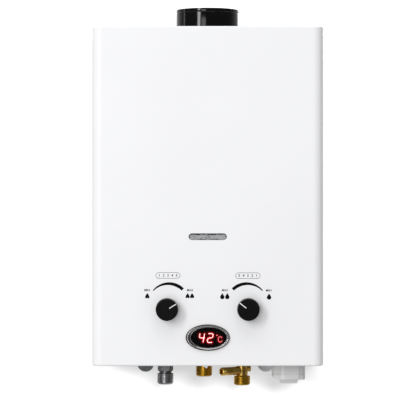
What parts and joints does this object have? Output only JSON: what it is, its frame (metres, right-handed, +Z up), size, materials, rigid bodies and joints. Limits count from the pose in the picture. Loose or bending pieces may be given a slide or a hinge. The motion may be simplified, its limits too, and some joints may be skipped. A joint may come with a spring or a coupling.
{
  "type": "wall-hung instantaneous gas water heater",
  "caption": "White sheet-metal gas water heater with a short round black flue collar, control knobs, an oval temperature display and threaded gas and water connections below.",
  "frame": {"origin": "centre of the wall face: the rear plane of the back plate, at half the cover's width and height", "axes": "+Z up, +Y into the wall, so the front with the knobs faces -Y; +X to the right seen from the front"},
  "size_m": [0.2936, 0.1434, 0.4794],
  "materials": {
    "white_enamel": "semi-gloss powder coat",
    "galvanised": "galvanised sheet",
    "zinc_screw": "zinc plated",
    "black_enamel": "glossy enamel",
    "aluminised": "aluminised sheet",
    "copper": "bare copper",
    "brass": "cast and turned brass",
    "stainless": "stainless sheet",
    "die_cast": "die-cast aluminium",
    "grey_steel": "turned steel",
    "spring_steel": "spring wire",
    "black_plastic": "satin black",
    "white_mark": "printed white",
    "dark_rubber": "moulded rubber",
    "chrome": "plated plastic",
    "smoked_lens": "smoked red-black lens",
    "circuit_black": "display block and board",
    "mica": "mica sheet",
    "light_plastic": "moulded ABS",
    "switch_plastic": "moulded",
    "ceramic_white": "glazed alumina",
    "cell_wrap": "plain wrapped steel can"
  },
  "bodies": {
    "heater": {"front_cover": "white_enamel", "back_plate": "galvanised", "bottom_panel": "galvanised", "cover_screws": "zinc_screw", "chassis_screws": "zinc_screw", "flue_collar": "black_enamel", "collar_screws": "zinc_screw", "draft_hood": "aluminised", "draft_baffle": "aluminised", "heat_exchanger_shell": "copper", "heat_exchanger_fins": "copper", "heat_exchanger_tubes": "copper", "chassis_brackets": "galvanised", "cold_pipe": "copper", "hot_pipe": "copper", "union_nuts": "brass", "burner_bars": "stainless", "burner_frame": "stainless", "gas_manifold": "die_cast", "gas_nozzles": "brass", "gas_valve_body": "die_cast", "gas_feed_pipe": "die_cast", "gas_solenoid": "grey_steel", "gas_inlet_nipple": "grey_steel", "poppet_spring": "spring_steel", "water_valve_body": "brass", "diaphragm_cover": "brass", "diaphragm": "dark_rubber", "linkage_plate": "galvanised", "microswitch": "switch_plastic", "cold_inlet_tee": "brass", "relief_spring": "spring_steel", "relief_seat_ring": "brass", "hot_outlet_nipple": "brass", "knob_bushes": "dark_rubber", "display_bezel": "chrome", "display_lens": "smoked_lens", "display_module": "circuit_black", "display_housing": "switch_plastic", "window_pane": "mica", "pane_retainer": "stainless", "controller_box": "light_plastic", "electrodes": "ceramic_white", "overheat_cutout": "die_cast", "battery_box": "light_plastic", "lid_pin": "zinc_screw", "battery_cells": "cell_wrap", "top_contact": "spring_steel"},
    "gas_control": {"gas_knob": "black_plastic", "gas_pointer": "white_mark", "gas_spindle": "brass"},
    "water_control": {"water_knob": "black_plastic", "water_pointer": "white_mark", "water_spindle": "brass"},
    "battery_door": {"battery_lid": "light_plastic", "lid_contact": "spring_steel"},
    "push_rod": {"pushrod": "stainless"},
    "gas_plunger": {"gas_poppet": "brass"},
    "switch_lever": {"microswitch_lever": "spring_steel"},
    "relief_valve": {"relief_poppet": "brass"}
  },
  "joints": [
    {"name": "gas_knob_turn", "type": "hinge", "parent": "heater", "child": "gas_control", "pos_m": [-0.051, -0.125, -0.142], "axis": [0, -1, 0], "range_deg": [0, 116]},
    {"name": "water_knob_turn", "type": "hinge", "parent": "heater", "child": "water_control", "pos_m": [0.051, -0.125, -0.142], "axis": [0, -1, 0], "range_deg": [-110, 6]},
    {"name": "battery_lid_swing", "type": "hinge", "parent": "heater", "child": "battery_door", "pos_m": [0.103, -0.0386, -0.2225], "axis": [1, 0, 0], "range_deg": [0, 95]},
    {"name": "pushrod_slide", "type": "slide", "parent": "heater", "child": "push_rod", "axis": [-1, 0, 0], "range_m": [0, 0.004], "stiffness_N_per_m": 600, "springref_m": -0.004},
    {"name": "gas_plunger_slide", "type": "slide", "parent": "heater", "child": "gas_plunger", "axis": [-1, 0, 0], "range_m": [0, 0.004], "deforming": ["poppet_spring"]},
    {"name": "switch_lever_swing", "type": "hinge", "parent": "heater", "child": "switch_lever", "pos_m": [-0.0076, -0.062, -0.1305], "axis": [0, 1, 0], "range_deg": [0, 11.5]},
    {"name": "relief_valve_slide", "type": "slide", "parent": "heater", "child": "relief_valve", "axis": [-0.788, -0.6157, 0], "range_m": [0, 0.0015], "stiffness_N_per_m": 2000, "springref_m": -0.005, "deforming": ["relief_spring"]}
  ],
  "couplings": [
    {"joint": "gas_plunger_slide", "follows": "pushrod_slide", "ratio": 1},
    {"joint": "switch_lever_swing", "follows": "pushrod_slide", "rad_per_m": 47.997}
  ]
}
